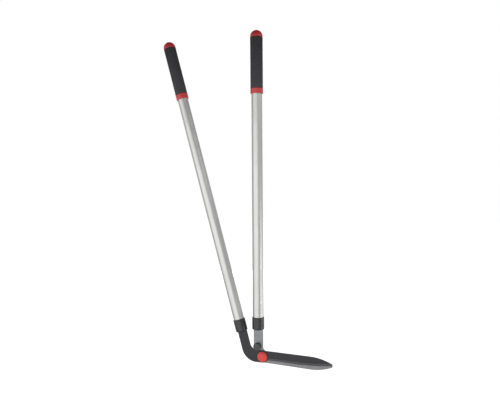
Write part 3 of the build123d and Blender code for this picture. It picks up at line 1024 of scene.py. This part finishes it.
# ------------------------------------------------------------------ studio
CAMERA_OFFSET = Vector((0.4649, -1.4310, 0.4526))   # from the pivot
CAMERA_TURN = 19.3                                  # degrees about Z
CAMERA_ROLL = -0.37
LENS_IN_WIDTHS = 1.04                               # the focal length, in sensor widths
FLOOR_HALF = 9.0                                    # half the floor's side
FLOOR_GLOW = 0.82                                   # keeps the floor as pale as the backdrop
LIGHT_DISTANCE = 2.0
FILL_FADE = (0.2, 0.85)                             # the heights between which the fill fades
FILL_LOW = 0.68
FILL_HIGH = 0.1
SOFTBOXES = {
    # degrees round from the camera's side, middle height, (width, height), radiance
    "left_softbox": (-38, -0.58, (4.5, 2.04), 0.9),
    "right_softbox": (96, -1.08, (1.3, 1.05), 1.15),
    "high_softbox": (66, 0.85, (2.6, 0.7), 0.85),
    "back_softbox": (190, -0.5, (0.9, 1.8), 1.25),
    "right_strip": (61, -1.08, (0.16, 1.05), 8.0),
}


def camera():
    """The camera, which looks level but for a slight roll."""
    data = bpy.data.cameras.new("camera")
    data.sensor_width = 36
    data.lens = data.sensor_width * LENS_IN_WIDTHS
    made = bpy.data.objects.new("camera", data)
    bpy.context.scene.collection.objects.link(made)
    made.location = PIVOT + CAMERA_OFFSET
    level = Euler((radians(90), 0, radians(CAMERA_TURN))).to_matrix()
    made.rotation_euler = (level @ Matrix.Rotation(radians(CAMERA_ROLL), 3, "Z")).to_euler()
    bpy.context.scene.camera = made


def softbox(name, turn, height, size, radiance):
    """A rectangular light that faces the handles and isn't seen itself."""
    width, tall = size
    data = bpy.data.lights.new(name, "AREA")
    data.shape = "RECTANGLE"
    data.size = width
    data.size_y = tall
    data.energy = radiance * pi * width * tall
    made = bpy.data.objects.new(name, data)
    bpy.context.scene.collection.objects.link(made)
    angle = radians(CAMERA_TURN + turn)
    out = Vector((sin(angle), -cos(angle), 0))
    aim = Vector((PIVOT.x, 0, height))
    made.location = aim + out * LIGHT_DISTANCE
    made.rotation_euler = out.to_track_quat("Z", "Y").to_euler()
    made.visible_camera = False


def world():
    """Soft grey fill on the object, in front of a plain white backdrop."""
    made = bpy.data.worlds.new("studio")
    made.use_nodes = True
    tree = made.node_tree
    fill = tree.nodes["Background"]
    fill.inputs["Color"].default_value = (1, 1, 1, 1)
    direction = tree.nodes.new("ShaderNodeTexCoord")
    parts = tree.nodes.new("ShaderNodeSeparateXYZ")
    shade = tree.nodes.new("ShaderNodeMapRange")
    tree.links.new(direction.outputs["Generated"], parts.inputs[0])
    tree.links.new(parts.outputs["Z"], shade.inputs["Value"])
    shade.inputs["From Min"].default_value = FILL_FADE[0]
    shade.inputs["From Max"].default_value = FILL_FADE[1]
    shade.inputs["To Min"].default_value = FILL_LOW
    shade.inputs["To Max"].default_value = FILL_HIGH
    tree.links.new(shade.outputs["Result"], fill.inputs["Strength"])
    backdrop = tree.nodes.new("ShaderNodeBackground")
    backdrop.inputs["Color"].default_value = (1, 1, 1, 1)
    seen = tree.nodes.new("ShaderNodeLightPath")
    choice = tree.nodes.new("ShaderNodeMixShader")
    tree.links.new(seen.outputs["Is Camera Ray"], choice.inputs["Fac"])
    tree.links.new(fill.outputs[0], choice.inputs[1])
    tree.links.new(backdrop.outputs[0], choice.inputs[2])
    tree.links.new(choice.outputs[0], tree.nodes["World Output"].inputs["Surface"])
    bpy.context.scene.world = made


def floor():
    """A pale floor level with the lowest part of the blades, left out of reflections."""
    shape = bmesh.new()
    low = cad_box[0].z
    corners = [(-1, -1), (1, -1), (1, 1), (-1, 1)]
    shape.faces.new([shape.verts.new((x * FLOOR_HALF, y * FLOOR_HALF, low)) for x, y in corners])
    mesh = bpy.data.meshes.new("floor")
    shape.to_mesh(mesh)
    shape.free()
    made = bpy.data.objects.new("floor", mesh)
    bpy.context.scene.collection.objects.link(made)
    paint = bpy.data.materials.new("pale_floor")
    paint.use_nodes = True
    shader = paint.node_tree.nodes["Principled BSDF"]
    shader.inputs["Base Color"].default_value = (0.85, 0.85, 0.85, 1)
    shader.inputs["Roughness"].default_value = 0.9
    shader.inputs["Emission Color"].default_value = (1, 1, 1, 1)
    shader.inputs["Emission Strength"].default_value = FLOOR_GLOW
    mesh.materials.append(paint)
    made.visible_glossy = False


# ------------------------------------------------------------------ the build
camera()
world()
floor()
for name, settings in SOFTBOXES.items():
    softbox(name, *settings)
bpy.context.scene.view_settings.view_transform = "Standard"

for side, place in HANDLES.items():
    tube(side, place)
    foam_grip(side, place)
    grip_cap(side, place)
    collar(side, place)
ferrule("fixed", HANDLES["fixed"], "lower_blade")
ferrule("moving", HANDLES["moving"], "upper_blade")
blade("upper_blade", "upper_blade_steel", "coated_steel")
blade("lower_blade", "lower_blade_steel", "ground_steel")
bumper()
pivot_cap()
pivot_cap_shade_ring()
pivot_bolt()
lock_nut()
plain_washer()
disc_spring()
pivot_bush()
for node, material in INNER_FINISHES.items():
    materials = frame["nodes"][node].data.materials
    materials.clear()
    materials.append(MATERIALS[material])
